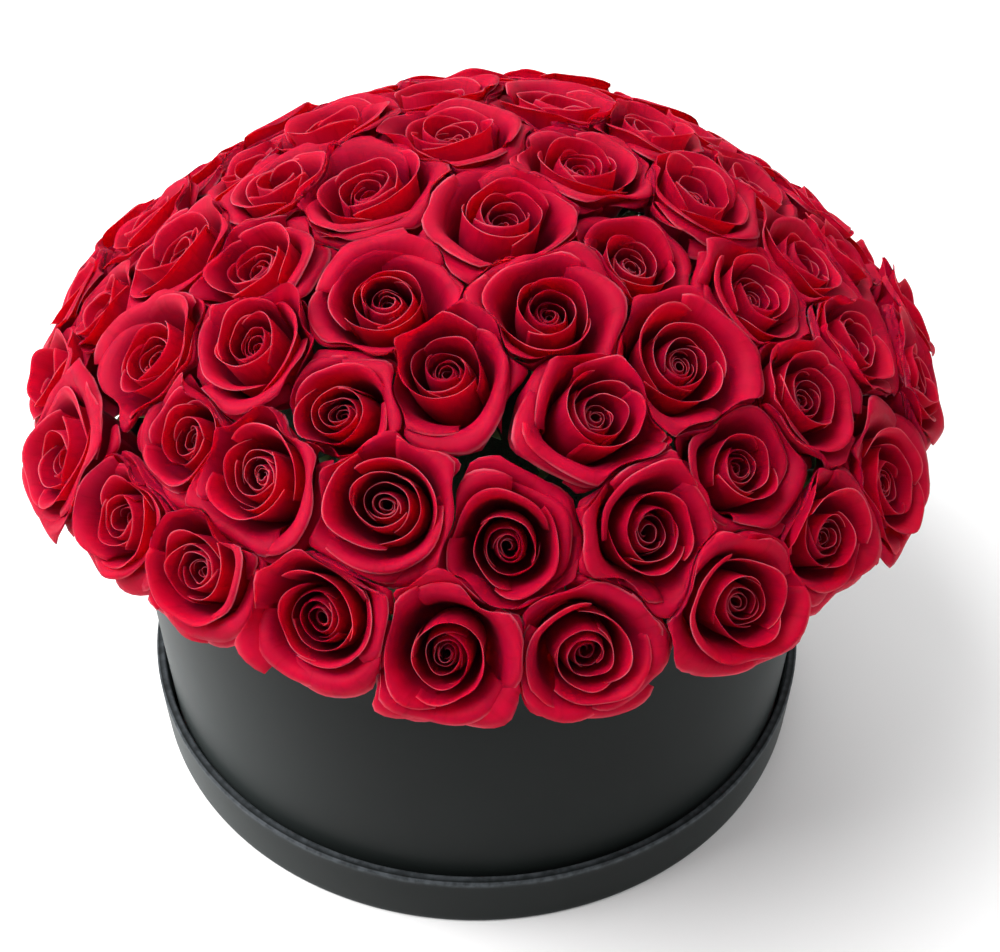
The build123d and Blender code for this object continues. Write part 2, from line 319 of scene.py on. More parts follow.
def petal_openness(chance):
    """How open each petal of one rose is, from the innermost to the outermost."""
    ends = np.cumsum((0,) + PETAL_COUNTS)
    openness = np.interp(np.arange(PETALS) + 0.5, ends, OPENNESS_ENDS)
    openness = openness ** chance.uniform(*OPENING_POWERS)
    openness = openness + chance.normal(0, OPENNESS_SPREAD, PETALS)
    return np.clip(openness, 0, 1)


def by_petal(values):
    """One value for each petal, shaped to go with arrays of (petal, row, column)."""
    return values[:, None, None]


def petal_middles(chance, cell):
    """The petals of one rose as (petal, row, column, xyz) in mm, and each petal's openness."""
    openness = petal_openness(chance)
    opened = by_petal(openness)
    across = np.linspace(-1, 1, PETAL_COLUMNS)[None, None, :]
    up = np.linspace(0, 1, PETAL_ROWS)[None, :, None] ** ROW_POWER

    # the rim is rounded, so a petal's sides end lower than its middle
    drop = SIDE_DROP + OPEN_SIDE_DROP * opened + by_petal(chance.uniform(*SIDE_DROP_SPREAD, PETALS))
    share = up * (1 - drop * np.abs(across) ** SIDE_DROP_POWER)
    controls = np.stack([
        np.stack([by_openness(PETAL_LINES[:, number, axis], openness) for axis in (0, 1)], axis=-1)
        for number in range(PETAL_LINES.shape[1])
    ], axis=1)
    whole = cell(np.linspace(0, 2 * math.pi, CELL_STEPS), RIM_HEIGHT).mean()
    size = 1 + chance.normal(0, HEIGHT_SPREAD, PETALS)
    controls[:, :, 1] *= size[:, None]
    controls[:, :, 0] *= whole / FULL_RADIUS
    line = bezier(controls, share)
    distance, height = line[..., 0], line[..., 1]

    # each petal tucks one side inside its neighbour
    tuck = by_petal(by_openness(TUCKS, openness))
    distance = distance * (1 + tuck * across * np.clip(share * 1.6, 0, 1))

    widening = np.sin(np.clip(up / WIDEST, 0, 1) * math.pi / 2)
    half = by_petal(by_openness(HALF_WIDTHS, openness))
    half = half * (BASE_WIDTH + WIDENING * widening)
    turn = by_petal(np.arange(PETALS) * GOLDEN_TURN + chance.normal(0, TURN_SPREAD, PETALS))
    angle = turn + half * across

    squeeze = chance.uniform(0, OVAL) * np.cos(2 * (angle - chance.uniform(0, math.pi)))
    distance = distance * (1 + squeeze * (1 - opened))

    # the open petals spread until they meet the neighbouring roses
    spread = np.clip((opened - SPREAD_START) / SPREAD_RANGE, 0, 1) * up
    overfill = by_petal(chance.uniform(*OVERFILL, PETALS))
    room = overfill * cell(angle, height) / by_petal(controls[:, -1, 0])
    distance = distance * (1 + spread * (room - 1))

    distance, height = roll_rims(chance, openness, up, across, distance, height)
    crease = CREASE_DEPTH * opened * np.exp(-(across / CREASE_WIDTH) ** 2)
    distance = distance + crease * np.clip(share * 1.3, 0, 1)
    points = np.stack([distance * np.cos(angle), distance * np.sin(angle), height], axis=-1)
    return points, openness


def roll_rims(chance, openness, up, across, distance, height):
    """The petals with their rims rolled back, most at the corners, and waving a little."""
    near_rim = np.clip((up - ROLL_START) / (1 - ROLL_START), 0, 1) ** ROLL_POWER
    corners = ROLL_MIDDLE + ROLL_CORNERS * np.abs(across) ** 1.5
    curl = by_petal(by_openness(CURLS, openness)) * near_rim * corners
    curl = curl * by_petal(chance.uniform(*CURL_SHARES, PETALS))
    distance = distance + CURL_OUT * curl
    height = height - CURL_DOWN * curl
    ruffle = by_petal(by_openness(RUFFLES, openness)) * near_rim
    for waves in RUFFLE_WAVES:
        start = by_petal(chance.uniform(0, 2 * math.pi, PETALS))
        wave = ruffle / waves * RUFFLE_HEIGHT * np.sin(waves * RUFFLE_TURN * across + start)
        distance = distance + RUFFLE_OUT * wave
        height = height + wave
    return distance, height


def petal_sheets(points):
    """Both faces of each petal: the middle surface moved half a thickness each way."""
    along = np.gradient(points, axis=1)
    across = np.gradient(points, axis=2)
    normal = np.cross(across, along)
    normal /= np.linalg.norm(normal, axis=-1, keepdims=True) + 1e-9
    taper = np.linspace(1.0, 0.55, PETAL_ROWS)[None, :, None, None]
    half = PETAL_THICKNESS / 2 * taper
    return points + normal * half, points - normal * half


def sheet_faces(rows, columns):
    """Quads that close a thin sheet: its front grid, its back grid and the edge all round."""
    layer = rows * columns
    front = np.arange(layer).reshape(rows, columns)
    faces = []
    for row in range(rows - 1):
        for column in range(columns - 1):
            a, b = front[row, column], front[row, column + 1]
            c, d = front[row + 1, column + 1], front[row + 1, column]
            faces.append((a, b, c, d))
            faces.append((a + layer, d + layer, c + layer, b + layer))
    edge = list(front[0]) + list(front[1:, -1]) + list(front[-1, -2::-1]) + list(front[-2:0:-1, 0])
    for here, there in zip(edge, edge[1:] + edge[:1]):
        faces.append((here, here + layer, there + layer, there))
    return np.array(faces)


def store(mesh, name, values):
    """Keeps four numbers at each vertex for a material to read."""
    attribute = mesh.attributes.new(name, "FLOAT_COLOR", "POINT")
    attribute.data.foreach_set("color", np.asarray(values, dtype=np.float32).reshape(-1))


PETAL_FACES = sheet_faces(PETAL_ROWS, PETAL_COLUMNS)


def walls_of(rose, roses):
    """The planes between a rose and its neighbours, as unit vectors that point at the neighbour.

    Each plane goes through the focus, and lies nearer to the smaller rose."""
    walls = []
    for other in roses:
        apart = math.acos(min(1.0, rose["direction"] @ other["direction"]))
        if 1e-6 < apart < NEIGHBOUR_TURN:
            turn = apart * rose["radius"] / (rose["radius"] + other["radius"])
            sideways = other["direction"] - rose["direction"] * math.cos(apart)
            sideways /= np.linalg.norm(sideways)
            walls.append(sideways * math.cos(turn) - rose["direction"] * math.sin(turn))
    return walls


def press(points, walls):
    """Bends points that pass the planes between roses, so that they lie along them."""
    cushion = NEIGHBOUR_CUSHION * MM
    start = -(NEIGHBOUR_GAP * MM + cushion)
    for wall in walls:
        beyond = (points - FOCUS) @ wall
        along = (points - FOCUS - np.outer(beyond, wall)) / MM
        # the plane waves the same way for the rose on its other side, which sees it mirrored
        side = math.copysign(WAVER * MM, wall @ WAVER_SIDE)
        waver = side * np.sin(along @ WAVER_STEPS.T).sum(axis=1)
        over = np.clip(beyond - waver - start, 0, None)
        points = points - np.outer(over - cushion * (1 - np.exp(-over / cushion)), wall)
    return points


def make_cell(rose, right, forward, walls):
    """A function of turn and height that gives how far a petal may reach from the rose's axis."""
    outward = rose["direction"][:2] / (np.linalg.norm(rose["direction"][:2]) + 1e-9)
    below = np.append(outward * math.cos(LOWEST_TILT), -math.sin(LOWEST_TILT))
    free_side = FREE_SIDE if rose["name"].startswith("ring_5") else 0.0

    def cell(angle, height):
        downward = np.cos(angle) * (right @ below) + np.sin(angle) * (forward @ below)
        furthest = rose["radius"] + SPARE_ROOM - free_side * np.clip(0.5 + downward, 0, 1)
        least = (1 / furthest) ** CELL_ROUNDNESS + np.zeros_like(angle + height)
        for wall in walls + [below]:
            towards = np.cos(angle) * (right @ wall) + np.sin(angle) * (forward @ wall)
            distance = -(rose["base"] + height) * (rose["direction"] @ wall) - NEIGHBOUR_GAP
            least = least + np.clip(towards / distance, 0, None) ** CELL_ROUNDNESS
        return least ** (-1 / CELL_ROUNDNESS)
    return cell


def make_rose(rose, roses, petal_material):
    """All the petals of one rose, as one piece that stands for its CAD bloom."""
    chance = np.random.default_rng(rose["seed"])
    direction = rose["direction"]
    side = np.cross(direction, (0.0, 0.0, 1.0) if abs(direction[2]) < 0.9 else (0.0, 1.0, 0.0))
    side /= np.linalg.norm(side)
    other = np.cross(direction, side)
    hand = 1 if chance.random() < 0.5 else -1
    spin = chance.uniform(0, 2 * math.pi)
    right = math.cos(spin) * side + math.sin(spin) * other
    forward = (-math.sin(spin) * side + math.cos(spin) * other) * hand
    walls = walls_of(rose, roses)
    points, openness = petal_middles(chance, make_cell(rose, right, forward, walls))
    for axis, lean in enumerate(chance.normal(0, LEAN, 2)):
        points[..., axis] += lean * points[..., 2]
    outer, inner = petal_sheets(points)
    sheets = np.stack([outer, inner], axis=1).reshape(-1, 3)
    placed = FOCUS + MM * (
        np.outer(sheets[:, 0], right)
        + np.outer(sheets[:, 1], forward)
        + np.outer(sheets[:, 2] + rose["base"], direction)
    )
    placed = press(placed, walls)

    per_petal = PETAL_ROWS * PETAL_COLUMNS * 2
    faces = (PETAL_FACES[None] + per_petal * np.arange(PETALS)[:, None, None]).reshape(-1, 4)
    if hand < 0:
        faces = faces[:, ::-1]
    piece = new_piece(rose["name"] + "_petals", placed, faces, rose["body"])
    paint_petals(piece.data, openness, chance)
    piece.data.materials.append(petal_material)
    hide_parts(rose["nodes"][0])


def paint_petals(mesh, openness, chance):
    """Stores where each vertex lies on its petal, for the petal material."""
    shape = (PETALS, 2, PETAL_ROWS, PETAL_COLUMNS)
    up = np.broadcast_to(np.linspace(0, 1, PETAL_ROWS)[None, None, :, None], shape)
    across = np.broadcast_to(np.linspace(0, 1, PETAL_COLUMNS)[None, None, None, :], shape)
    opened = np.broadcast_to(openness[:, None, None, None], shape)
    own = np.broadcast_to(chance.random(PETALS)[:, None, None, None], shape)
    store(mesh, "petal_place", np.stack([up, opened, across, own], axis=-1))


# ---- Calyxes and stems ----
def stem_and_hip(bloom_base):
    """The outlines of a stem and of the hip above it, as (radius, height) points."""
    hip_bottom = bloom_base - HIP_LENGTH
    hip_top = bloom_base + HIP_INSIDE
    stem = [(0.0, STEM_START), (STEM_RADIUS, STEM_START + STEM_EDGE)]
    stem += [(STEM_RADIUS, height) for height in np.linspace(STEM_FIRST_ROW, hip_bottom, STEM_ROWS)]
    hip = []
    for share in np.linspace(0.08, 1.0, HIP_ROWS):
        swell = math.sin(min(1.0, share * HIP_SWELL) * math.pi / 2)
        radius = STEM_RADIUS + (HIP_RADIUS - STEM_RADIUS) * swell
        radius -= HIP_NECK * max(0.0, share - HIP_NECK_START) / (1 - HIP_NECK_START)
        hip.append((radius, hip_bottom + share * (hip_top - hip_bottom)))
    hip.append((0.0, hip_top))
    return stem, hip


def make_greens(rose, calyx_material, stem_material):
    """The stem, the hip and five sepals of one rose, as one piece."""
    chance = np.random.default_rng(rose["seed"] + GREENS_SEED)
    stem, hip = stem_and_hip(rose["base"])
    outline = stem + hip
    vertices, faces, kinds = [], [], []
    for radius, height in outline:
        for step in range(STEM_SIDES):
            turn = 2 * math.pi * step / STEM_SIDES
            vertices.append((radius * math.cos(turn), radius * math.sin(turn), height))
    for row in range(len(outline) - 1):
        for step in range(STEM_SIDES):
            a = row * STEM_SIDES + step
            b = row * STEM_SIDES + (step + 1) % STEM_SIDES
            faces.append((a, b, b + STEM_SIDES, a + STEM_SIDES))
            kinds.append(0 if row < len(stem) - 1 else 1)
    spread = chance.uniform(0, 2 * math.pi)
    for number in range(SEPALS):
        sepal = sheet_faces(SEPAL_ROWS, SEPAL_COLUMNS) + len(vertices)
        vertices += sepal_points(spread + number * 2 * math.pi / SEPALS, rose["base"], chance)
        faces += sepal.tolist()
        kinds += [1] * len(sepal)
    points = np.array(vertices)
    direction = rose["direction"]
    side = np.cross(direction, (0.0, 1.0, 0.0))
    side /= np.linalg.norm(side)
    other = np.cross(direction, side)
    placed = FOCUS + MM * (
        np.outer(points[:, 0], side)
        + np.outer(points[:, 1], other)
        + np.outer(points[:, 2], direction)
    )
    piece = new_piece(rose["name"] + "_stem_and_calyx", placed, faces, rose["body"])
    piece.data.materials.append(stem_material)
    piece.data.materials.append(calyx_material)
    piece.data.polygons.foreach_set("material_index", kinds)
    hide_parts(*rose["nodes"][1:])


def sepal_points(turn, base, chance):
    """One pointed sepal, which lies along the bloom's underside and curls away at its tip."""
    length = chance.uniform(*SEPAL_LENGTHS)
    droop = chance.uniform(*SEPAL_DROOPS)
    points = []
    for depth in (0.0, SEPAL_THICKNESS):
        for row in range(SEPAL_ROWS):
            share = row / (SEPAL_ROWS - 1)
            distance = SEPAL_START + length * SEPAL_OUT * share
            height = base - 1.0 - depth + length * (SEPAL_UP * share - droop * share ** 3)
            half = SEPAL_HALF_WIDTH * (1 - share) ** 0.7 * (0.55 + 0.9 * share)
            for column in range(SEPAL_COLUMNS):
                across = (column / (SEPAL_COLUMNS - 1) * 2 - 1) * half
                x = distance * math.cos(turn) - across * math.sin(turn)
                y = distance * math.sin(turn) + across * math.cos(turn)
                points.append((x, y, height + SEPAL_HOLLOW * across ** 2))
    return points


# ---- Leaves ----
def leaf_frame(part, directions):
    """A CAD leaf's root, its directions along, across and outward, and its length and half width."""
    middle = part.mean(axis=0)
    outward = (middle - FOCUS) / np.linalg.norm(middle - FOCUS)
    flat = part - middle - np.outer((part - middle) @ outward, outward)
    along = np.linalg.svd(flat, full_matrices=False)[2][0]
    ends = [part[np.argmin(flat @ along)], part[np.argmax(flat @ along)]]
    to_stem = [max(directions @ ((end - FOCUS) / np.linalg.norm(end - FOCUS))) for end in ends]
    if to_stem[1] > to_stem[0]:
        ends.reverse()
        along = -along
    across = np.cross(outward, along)
    half = np.abs((part - middle) @ across).max()
    return ends[0], along, across, outward, np.ptp(flat @ along), half


def make_leaf(name, part, directions, node, material):
    """One rose leaflet: toothed, folded along its midrib and drooping at its tip."""
    root, along, across, outward, length, half = leaf_frame(part, directions)
    chance = np.random.default_rng(sum(name.encode()))
    up = np.linspace(0, 1, LEAF_ROWS)[:, None]
    side = np.linspace(-1, 1, LEAF_COLUMNS)[None, :]
    teeth = 1 + LEAF_TOOTH * ((up * LEAF_TEETH) % 1.0 - 0.5) * np.abs(side) ** 6
    outline = np.sin(math.pi * up ** 0.82) ** 0.8 * (1 - 0.25 * up) * 1.12 + 0.09 * (1 - up)
    width = half * outline * teeth * side
    folded = LEAF_FOLD * np.abs(width) + LEAF_ARCH * MM * np.sin(up * math.pi)
    slanted = (up - LEAF_VEIN_SLANT * np.abs(side)) * LEAF_SIDE_VEINS * 2 * math.pi
    veins = LEAF_VEIN_DEPTH * MM * np.cos(slanted) * np.abs(side)
    droop = chance.uniform(*LEAF_DROOPS) * length * up ** 2
    lift = folded + veins - droop
    forward = length * (up - 0.05 * np.abs(side) * up)
    face = root + forward[..., None] * along + width[..., None] * across + lift[..., None] * outward
    back = face - LEAF_THICKNESS * MM * outward
    vertices = np.concatenate([face.reshape(-1, 3), back.reshape(-1, 3)])
    piece = new_piece(name, vertices, sheet_faces(LEAF_ROWS, LEAF_COLUMNS), "arrangement")
    own = np.full(face.shape[:2], chance.random())
    place = np.stack([up + 0 * side, side * 0.5 + 0.5 + 0 * up, own, own], axis=-1)
    store(piece.data, "leaf_place", np.concatenate([place.reshape(-1, 4)] * 2))
    piece.data.materials.append(material)
    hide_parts(node)


# ---- The covering papers ----
def fold(middle, start):
    """A quarter turn of paper over an edge, as (radius, height) points, turning from start."""
    turns = np.radians(start) + np.linspace(0, math.pi / 2, FOLD_STEPS)
    return [
        (middle[0] + FOLD_RADIUS * math.cos(turn), middle[1] + FOLD_RADIUS * math.sin(turn))
        for turn in turns
    ]


def covering_path(outer, inner, bottom, top, turn_in):
    """The paper's outer face from under a base, up the wall, over the top edge and down inside."""
    r = FOLD_RADIUS
    path = [(outer - TURN_UNDER, bottom), (outer - 0.6 * TURN_UNDER, bottom)]
    path += fold((outer - r, bottom + r), -90)
    path += [(outer, height) for height in np.linspace(bottom + 3 * r, top - 3 * r, WALL_ROWS)]
    path += fold((outer - r, top - r), 0)
    path += fold((inner + r, top - r), 90)
    path += [(inner, height) for height in np.linspace(top - 3 * r, top - turn_in, TURN_IN_ROWS)]
    return np.array(path)


def make_covering(name, node, lining, body, turn_in, material):
    """A box part's covering paper, with its waves and the overlap at its seam."""
    low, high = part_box(node)
    outer, bottom, top = high.x / MM, low.z / MM, high.z / MM
    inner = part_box(lining)[1].x / MM - PAPER
    path = covering_path(outer, inner, bottom, top, turn_in)
    tangent = np.gradient(path, axis=0)
    tangent /= np.linalg.norm(tangent, axis=1, keepdims=True)
    inward = np.stack([-tangent[:, 1], tangent[:, 0]], axis=1)

    turns = np.linspace(0, 2 * math.pi, AROUND, endpoint=False)
    turns = np.sort(np.concatenate([turns, [SEAM_TURN - SEAM_STEP, SEAM_TURN + SEAM_STEP]]))
    since_seam = (turns - SEAM_TURN) % (2 * math.pi)
    overlap = SEAM_RISE * np.clip((SEAM_WIDTH - since_seam) / SEAM_WIDTH * 3, 0, 1)
    waves = sum(PAPER_WAVE * (1 + np.sin(count * turns + count)) for count in PAPER_WAVES)
    # the overlap and the waves fade out where the paper lies on the edge and inside
    outside = np.clip((path[:, 0] - (outer - FOLD_RADIUS)) / FOLD_RADIUS, 0, 1)
    risen = np.clip((path[:, 1] - bottom) / (top - bottom), 0, 1)
    belly = outside * np.sin(risen * math.pi) ** 0.5
    rings = []
    for depth in (0.0, PAPER):
        line = path + inward * depth
        radius = line[:, 0][:, None] + overlap * outside[:, None] + waves * belly[:, None]
        height = np.broadcast_to(line[:, 1][:, None], radius.shape)
        rings.append(np.stack([radius * np.cos(turns), radius * np.sin(turns), height], axis=-1))
    vertices = MM * np.concatenate([ring.reshape(-1, 3) for ring in rings])

    rows, columns = len(path), len(turns)
    grid = np.arange(rows * columns).reshape(rows, columns)
    after = np.roll(grid, -1, axis=1)
    layer = rows * columns
    face = np.stack([grid[:-1], after[:-1], after[1:], grid[1:]], axis=-1).reshape(-1, 4)
    ends = [
        np.stack([grid[0], grid[0] + layer, after[0] + layer, after[0]], axis=-1),
        np.stack([grid[-1], after[-1], after[-1] + layer, grid[-1] + layer], axis=-1),
    ]
    faces = np.concatenate([face, face[:, ::-1] + layer, *ends])
    piece = new_piece(name, vertices, faces, body)

    # the paper is worn where it folds, and is painted paler there both for that wear and as a painted
    # highlight along the edge
    turning = np.abs(np.diff(tangent, axis=0, append=tangent[-1:])).sum(axis=1)
    worn_and_highlit = np.broadcast_to(np.clip(turning * 3, 0, 1)[:, None], (rows, columns)).reshape(-1)
    place = np.stack([worn_and_highlit, worn_and_highlit, worn_and_highlit, worn_and_highlit], axis=-1)
    store(piece.data, "worn_edge", np.concatenate([place] * 2))
    piece.data.materials.append(material)
    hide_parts(node)


# ---- Node materials ----
class Nodes:
    """A short way to write a material's node tree."""

    def __init__(self, name):
        self.material = bpy.data.materials.new(name)
        self.material.use_nodes = True
        self.tree = self.material.node_tree
        self.shader = self.tree.nodes["Principled BSDF"]

    def add(self, kind, inputs=None, **settings):
        node = self.tree.nodes.new(kind)
        for key, value in settings.items():
            setattr(node, key, value)
        for key, value in (inputs or {}).items():
            self.put(node.inputs[key], value)
        return node

    def put(self, socket, value):
        if isinstance(value, bpy.types.NodeSocket):
            self.tree.links.new(value, socket)
        else:
            socket.default_value = value

    def maths(self, operation, first, second=0.0):
        return self.add("ShaderNodeMath", {0: first, 1: second}, operation=operation).outputs[0]

    def times(self, first, second):
        return self.maths("MULTIPLY", first, second)

    def object_place(self):
        return self.add("ShaderNodeTexCoord").outputs["Object"]

    def stored(self, name):
        """The four numbers that store() kept at each vertex."""
        place = self.add("ShaderNodeAttribute", attribute_name=name)
        parts = self.add("ShaderNodeSeparateColor", {"Color": place.outputs["Color"]})
        return (*(parts.outputs[key] for key in ("Red", "Green", "Blue")), place.outputs["Alpha"])

    def mix(self, share, first, second):
        node = self.add("ShaderNodeMix", data_type="RGBA")
        for key, value in ((0, share), (6, first), (7, second)):
            self.put(node.inputs[key], value)
        return node.outputs[2]

    def ramp(self, value, low, high):
        node = self.add("ShaderNodeMapRange", {"Value": value, "From Min": low, "From Max": high})
        node.interpolation_type = "SMOOTHSTEP"
        return node.outputs["Result"]

    def noise(self, scale, detail=4.0, roughness=0.5, vector=None):
        inputs = {"Scale": scale, "Detail": detail, "Roughness": roughness}
        if vector is None:
            vector = self.object_place()
        node = self.add("ShaderNodeTexNoise", inputs)
        self.put(node.inputs["Vector"], vector)
        return node.outputs["Fac"]

    def bump(self, height, strength, distance):
        inputs = {"Height": height, "Strength": strength, "Distance": distance}
        return self.add("ShaderNodeBump", inputs).outputs["Normal"]

    def surface(self, **inputs):
        for key, value in inputs.items():
            self.put(self.shader.inputs[key.replace("_", " ")], value)
        return self.material


def petal_red():
    """Velvety red: painted shade darkens it deep in the bloom, it is bright on the petals, and a
    painted highlight makes it paler along the rims.
    """
    n = Nodes("petal_red")
    up, opened, across, own = n.stored("petal_place")
    # painted shade: each petal is darker towards its base, deep in the bloom
    colour = n.mix(n.ramp(up, 0.35, 0.95), (0.20, 0.0, 0.016, 1), (0.34, 0.0, 0.019, 1))
    # painted shade: the petals of the bud and the cup are darker still
    inner = n.times(n.ramp(opened, 0.66, 0.25), 0.85)
    colour = n.mix(inner, colour, (0.21, 0.0, 0.019, 1))
    colour = n.mix(n.times(own, 0.35), colour, (0.40, 0.0, 0.023, 1))
    # veins that fan out from the base
    fan = n.add("ShaderNodeCombineXYZ", {
        "X": n.times(n.maths("SUBTRACT", across, 0.5), 24.0),
        "Y": n.times(up, 2.0),
        "Z": n.times(own, 37.0),
    })
    veins = n.noise(1.0, 3.0, 0.55, fan.outputs["Vector"])
    colour = n.mix(n.times(n.ramp(veins, 0.50, 0.75), 0.5), colour, (0.22, 0.0, 0.010, 1))
    blotches = n.times(n.ramp(n.noise(90.0, 3.0), 0.45, 0.75), 0.4)
    colour = n.mix(blotches, colour, (0.46, 0.0, 0.030, 1))
    # painted highlight: a pale, broken line along each petal's rim
    rim_highlight = n.times(n.ramp(up, 0.965, 1.0), n.ramp(n.noise(60.0, 2.0), 0.35, 0.65))
    colour = n.mix(n.times(rim_highlight, 0.65), colour, (0.54, 0.11, 0.15, 1))
    height = n.maths("ADD", n.times(veins, 0.7), n.times(n.noise(900.0, 2.0), 0.4))
    # light spreads a little way inside a petal
    n.shader.subsurface_method = "BURLEY"
    return n.surface(
        Base_Color=colour, Roughness=0.62, Specular_IOR_Level=0.07,
        Subsurface_Weight=0.8, Subsurface_Radius=(1.0, 0.04, 0.04), Subsurface_Scale=0.002,
        Sheen_Weight=0.03, Sheen_Roughness=0.4, Sheen_Tint=(1.0, 0.15, 0.25, 1),
        Normal=n.bump(height, 0.35, 0.0004),
    )


def plant_green(name, dark, light, roughness):
    """A stem or calyx: fresh green with paler streaks, brownish blotches and a waxy surface."""
    n = Nodes(name)
    streaks = n.noise(220.0, 4.0)
    colour = n.mix(n.ramp(streaks, 0.35, 0.7), dark, light)
    blotches = n.times(n.ramp(n.noise(45.0), 0.55, 0.8), 0.5)
    colour = n.mix(blotches, colour, (0.14, 0.05, 0.02, 1))
    return n.surface(Base_Color=colour, Roughness=roughness, Normal=n.bump(streaks, 0.25, 0.0006))


def leaf_green():
    """A rose leaf: dark and waxy, paler along its veins, and some leaves a little yellower."""
    n = Nodes("leaf_green")
    up, across, own, _ = n.stored("leaf_place")
    side = n.maths("ABSOLUTE", n.maths("SUBTRACT", across, 0.5))
    midrib = n.ramp(side, 0.035, 0.0)
    # a half leaf is 0.5 wide here, so this is twice the slant of the veins in the shape
    slanted = n.maths("SUBTRACT", up, n.times(side, 2 * LEAF_VEIN_SLANT))
    ribs = n.ramp(n.maths("COSINE", n.times(slanted, LEAF_SIDE_VEINS * 2 * math.pi)), 0.90, 1.0)
    net = n.add(
        "ShaderNodeTexVoronoi",
        {"Scale": 420.0, "Vector": n.object_place()},
        feature="DISTANCE_TO_EDGE",
    )
    netting = n.ramp(net.outputs["Distance"], 0.10, 0.0)
    clouds = n.ramp(n.noise(70.0), 0.3, 0.75)
    colour = n.mix(clouds, (0.010, 0.045, 0.012, 1), (0.026, 0.085, 0.022, 1))
    colour = n.mix(n.times(own, 0.35), colour, (0.05, 0.10, 0.025, 1))
    veins = n.maths("MAXIMUM", midrib, n.times(ribs, 0.6))
    veins = n.maths("MAXIMUM", veins, n.times(netting, 0.2))
    colour = n.mix(n.times(veins, 0.6), colour, (0.09, 0.17, 0.05, 1))
    return n.surface(
        Base_Color=colour, Roughness=0.42, Specular_IOR_Level=0.35,
        Normal=n.bump(veins, -0.4, 0.0005),
    )


def wrap_paper(name, dark, light, roughness):
    """Black covering paper: fine fibres, a soft sheen, handling marks, and folds painted paler, both
    as rubbed wear and as a painted highlight along the edge.
    """
    n = Nodes(name)
    fibres = n.noise(1500.0, 3.0, 0.6)
    clouds = n.noise(14.0, 3.0)
    colour = n.mix(n.ramp(clouds, 0.35, 0.7), dark, light)
    # rubbed wear and painted highlight: the folds are painted paler
    edge = n.add("ShaderNodeAttribute", attribute_name="worn_edge").outputs["Fac"]
    wear_and_highlight = n.maths("ADD", n.times(n.ramp(n.noise(260.0, 4.0, 0.6), 0.3, 0.7), 0.5), 0.3)
    colour = n.mix(n.times(edge, wear_and_highlight), colour, (0.085, 0.095, 0.105, 1))
    rough = n.maths("ADD", roughness, n.times(clouds, 0.12))
    height = n.maths("ADD", n.times(fibres, 0.5), n.times(n.noise(60.0), 0.5))
    return n.surface(
        Base_Color=colour, Roughness=rough, Specular_IOR_Level=0.06,
        Sheen_Weight=0.10, Sheen_Roughness=0.35, Sheen_Tint=(0.80, 0.95, 0.95, 1),
        Normal=n.bump(height, 0.12, 0.0006),
    )


def grey_board():
    """Bare greyboard: pressed fibres with darker and lighter flecks."""
    n = Nodes("grey_board")
    flecks = n.noise(700.0, 5.0, 0.7)
    colour = n.mix(n.ramp(flecks, 0.3, 0.75), (0.20, 0.18, 0.155, 1), (0.42, 0.39, 0.34, 1))
    return n.surface(Base_Color=colour, Roughness=0.9, Normal=n.bump(flecks, 0.3, 0.0005))


def wet_foam():
    """Floral foam: fine open cells, darker where it holds more water."""
    n = Nodes("wet_foam")
    cells = n.add("ShaderNodeTexVoronoi", {"Scale": 1400.0, "Vector": n.object_place()})
    water = n.ramp(n.noise(25.0), 0.3, 0.7)
    colour = n.mix(water, (0.006, 0.030, 0.012, 1), (0.016, 0.065, 0.028, 1))
    normal = n.bump(cells.outputs["Distance"], 0.6, 0.0006)
    return n.surface(Base_Color=colour, Roughness=0.75, Normal=normal)


def liner_plastic():
    """Thin black plastic, smeared with water."""
    n = Nodes("liner_plastic")
    marks = n.noise(35.0, 3.0)
    colour = n.mix(marks, (0.02, 0.022, 0.02, 1), (0.035, 0.038, 0.035, 1))
    return n.surface(
        Base_Color=colour, Roughness=n.ramp(marks, -0.6, 2.0), Specular_IOR_Level=0.25,
        Normal=n.bump(marks, 0.2, 0.001),
    )


def finish_nodes(material, slot, *names):
    """Gives CAD nodes that stay in view their material."""
    for name in names:
        node = frame["nodes"][name]
        node.data.materials.clear()
        node.data.materials.append(material)


# ---- Camera, lights and floor ----
def make_camera():
    """The camera, which looks along +Y and down, tipped a little to one side."""
    down, turn, roll = (math.radians(value) for value in (CAMERA_DOWN, CAMERA_TURN, CAMERA_ROLL))
    level = math.cos(down)
    ahead = Vector((math.sin(turn) * level, math.cos(turn) * level, -math.sin(down)))
    level_right = ahead.cross(Vector((0, 0, 1))).normalized()
    level_above = level_right.cross(ahead)
    right = level_right * math.cos(roll) + level_above * math.sin(roll)
    above = level_above * math.cos(roll) - level_right * math.sin(roll)
    camera = bpy.data.objects.new("camera", bpy.data.cameras.new("camera"))
    bpy.context.scene.collection.objects.link(camera)
    camera.data.sensor_width = SENSOR_WIDTH
    camera.data.lens = CAMERA_LENS
    camera.data.clip_start = 0.01
    turned = Matrix((right, above, -ahead)).transposed().to_4x4()
    camera.matrix_world = Matrix.Translation(CAMERA_PLACE) @ turned
    bpy.context.scene.camera = camera


def area_light(name, place, size, power):
    """A soft white square lamp that faces the middle of the flower box."""
    lamp = bpy.data.lights.new(name, "AREA")
    lamp.size = size
    lamp.energy = power
    holder = bpy.data.objects.new(name, lamp)
    bpy.context.scene.collection.objects.link(holder)
    holder.location = place
    towards = Vector(LIGHTS_AIM) - Vector(place)
    holder.rotation_mode = "QUATERNION"
    holder.rotation_quaternion = towards.to_track_quat("-Z", "Y")


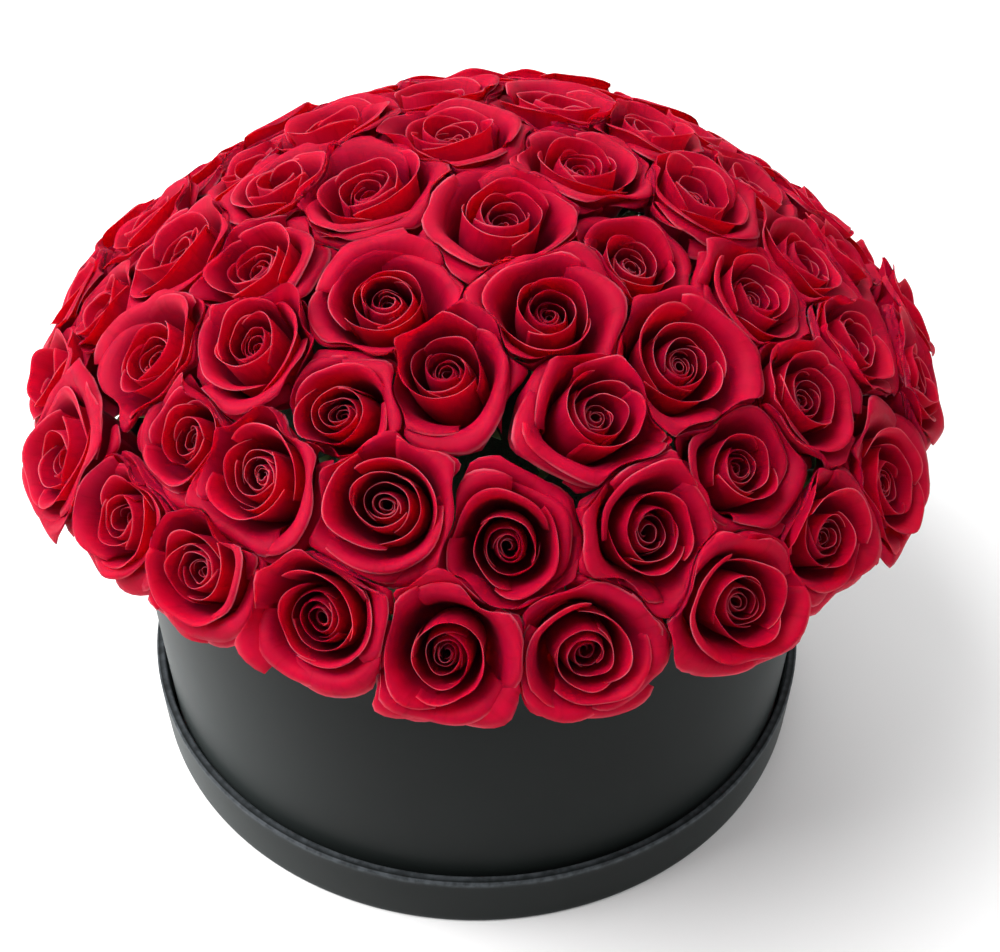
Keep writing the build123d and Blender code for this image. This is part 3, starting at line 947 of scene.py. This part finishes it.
def make_studio():
    """Even white light, four soft lamps and a pale floor."""
    world = bpy.data.worlds.new("studio")
    bpy.context.scene.world = world
    world.use_nodes = True
    background = world.node_tree.nodes["Background"]
    background.inputs["Color"].default_value = (1.0, 1.0, 1.0, 1)
    background.inputs["Strength"].default_value = EVEN_LIGHT
    for name, place, size, power in LIGHTS:
        area_light(name, place, size, power)
    half = FLOOR_HALF
    corners = [(-half, -half, 0), (half, -half, 0), (half, half, 0), (-half, half, 0)]
    mesh = bpy.data.meshes.new("floor")
    mesh.from_pydata(corners, [], [(0, 1, 2, 3)])
    floor = bpy.data.objects.new("floor", mesh)
    bpy.context.scene.collection.objects.link(floor)
    n = Nodes("floor_white")
    mesh.materials.append(n.surface(Base_Color=FLOOR_WHITE, Roughness=0.8))
    bpy.context.scene.view_settings.view_transform = "Standard"


make_camera()
make_studio()

PETAL_RED = petal_red()
CALYX_GREEN = plant_green("calyx_green", (0.035, 0.10, 0.02, 1), (0.09, 0.20, 0.05, 1), 0.5)
STEM_GREEN = plant_green("stem_green", (0.03, 0.11, 0.02, 1), (0.08, 0.22, 0.05, 1), 0.42)
LEAF_GREEN = leaf_green()
BLACK_PAPER = wrap_paper("black_paper", (0.003, 0.004, 0.0036, 1), (0.005, 0.0065, 0.006, 1), 0.36)
LINING_PAPER = wrap_paper("lining_paper", (0.012, 0.012, 0.012, 1), (0.02, 0.02, 0.02, 1), 0.6)

ROSES = find_roses()
for order, each_rose in enumerate(ROSES):
    each_rose["seed"] = ROSE_SEED + order
DIRECTIONS = np.array([each_rose["direction"] for each_rose in ROSES])
for each_rose in ROSES:
    make_rose(each_rose, ROSES, PETAL_RED)
    make_greens(each_rose, CALYX_GREEN, STEM_GREEN)
for ring in ("ring_4", "ring_5"):
    for order, leaf in enumerate(islands(ring + "_leaves"), 1):
        make_leaf(f"{ring}_leaf_{order:02d}", leaf, DIRECTIONS, ring + "_leaves", LEAF_GREEN)

make_covering("drum_covering_paper", "drum_wrap", "drum_lining", "drum", DRUM_TURN_IN, BLACK_PAPER)
make_covering("tray_covering_paper", "tray_wrap", "tray_lining", "tray", TRAY_TURN_IN, BLACK_PAPER)
BOARDS = ("tray_floor_board", "tray_rim_board", "drum_base_board", "drum_wall_board")
FOAM_BLOCKS = [name for name in frame["nodes"] if name.startswith("foam_")]
finish_nodes(BLACK_PAPER, "black_paper", "tray_face_paper", "drum_base_paper")
finish_nodes(LINING_PAPER, "lining_paper", "tray_lining", "drum_lining", "drum_floor_paper")
finish_nodes(grey_board(), "greyboard", *BOARDS)
finish_nodes(wet_foam(), "floral_foam", *FOAM_BLOCKS)
finish_nodes(liner_plastic(), "liner_plastic", "liner")
